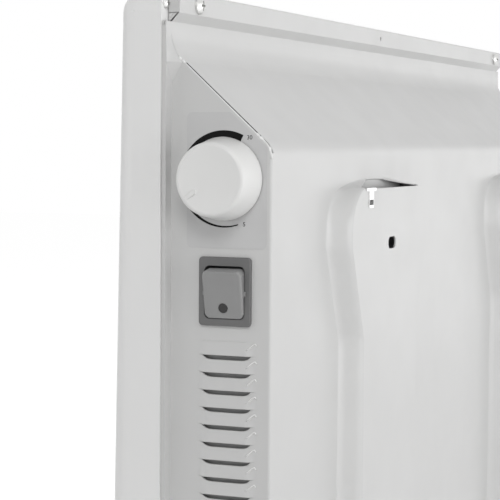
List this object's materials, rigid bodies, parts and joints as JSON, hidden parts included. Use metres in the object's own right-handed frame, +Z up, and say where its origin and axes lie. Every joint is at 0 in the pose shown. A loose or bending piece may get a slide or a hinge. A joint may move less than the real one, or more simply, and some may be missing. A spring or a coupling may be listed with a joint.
{
  "type": "wall panel convector heater",
  "caption": "Wall-hung electric convector heater: pressed steel rear casing with raised wall channels, slotted front cover, side thermostat knob and rocker switch.",
  "frame": {"origin": "in the wall plane, at the centre of the four hanging slots in the raised wall channels", "axes": "+X along the wall to the right as seen from the room, +Y into the wall, +Z up"},
  "size_m": [0.5874, 0.0901, 0.3956],
  "materials": {
    "casing_paint": "fine satin powder coat",
    "cover_paint": "fine satin powder coat",
    "screw_zinc": "bright zinc plate",
    "clip_steel": "bright spring steel",
    "knob_white": "smooth semi-gloss moulding",
    "label_film": "matt printed film",
    "dial_ink": "matt black ink",
    "switch_grey": "matt moulded plastic",
    "rocker_grey": "satin moulded plastic",
    "lens_tint": "dark tinted lens",
    "lamp_glass": "clear lamp glass",
    "bakelite": "moulded phenolic",
    "galvanised": "galvanised sheet",
    "element_alloy": "extruded, slightly oxidised",
    "rod_steel": "heat-tinted steel sheath",
    "ceramic_white": "unglazed steatite",
    "terminal_brass": "plain brass",
    "shaft_steel": "turned steel",
    "gland_black": "matt nylon",
    "rubber_black": "soft rubber",
    "lead_brown": "silicone sleeve",
    "lead_blue": "silicone sleeve",
    "lead_green": "silicone sleeve",
    "lead_white": "glass-fibre sleeve"
  },
  "bodies": {
    "root": {"rear_casing": "casing_paint", "front_cover": "cover_paint", "cover_screws_top": "screw_zinc", "cover_screws_bottom": "screw_zinc", "cover_nuts_top": "screw_zinc", "cover_nuts_bottom": "screw_zinc", "corner_screws": "screw_zinc", "hanger_clip_right": "clip_steel", "hanger_clip_left": "clip_steel", "dial_label": "label_film", "dial_scale": "dial_ink", "thermostat_body": "bakelite", "thermostat_screws": "screw_zinc", "thermostat_terminals": "terminal_brass", "switch_body": "switch_grey", "pilot_lamp": "lamp_glass", "switch_terminals": "terminal_brass", "divider_plate": "galvanised", "element_bracket": "galvanised", "air_baffle": "galvanised", "baffle_rivets": "shaft_steel", "element_core": "element_alloy", "element_rod": "rod_steel", "element_bush_right": "ceramic_white", "element_bush_left": "ceramic_white", "thermal_cutout": "bakelite", "cutout_rivets": "shaft_steel", "cutout_terminals": "terminal_brass", "terminal_block": "ceramic_white", "terminal_screws": "terminal_brass", "block_screws": "screw_zinc", "earth_tag": "terminal_brass", "earth_screw": "screw_zinc", "cable_gland": "gland_black", "gland_nut": "gland_black", "wire_grommet_right": "rubber_black", "wire_grommet_left": "rubber_black", "live_lead": "lead_brown", "switched_lead": "lead_brown", "element_lead": "lead_white", "neutral_lead": "lead_blue", "cutout_lead": "lead_white", "earth_lead": "lead_green"},
    "thermostat_knob": {"knob": "knob_white", "thermostat_shaft": "shaft_steel"},
    "switch_rocker": {"rocker": "rocker_grey", "pilot_lens": "lens_tint"}
  },
  "joints": [
    {"name": "thermostat", "type": "hinge", "parent": "root", "child": "thermostat_knob", "pos_m": [0.282, -0.03265, 0.11425], "axis": [1, 0, 0], "range_deg": [-137, 75]},
    {"name": "rocker", "type": "hinge", "parent": "root", "child": "switch_rocker", "pos_m": [0.2828, -0.0315, 0.06355], "axis": [0, 1, 0], "range_deg": [-21.2, 0]}
  ]
}
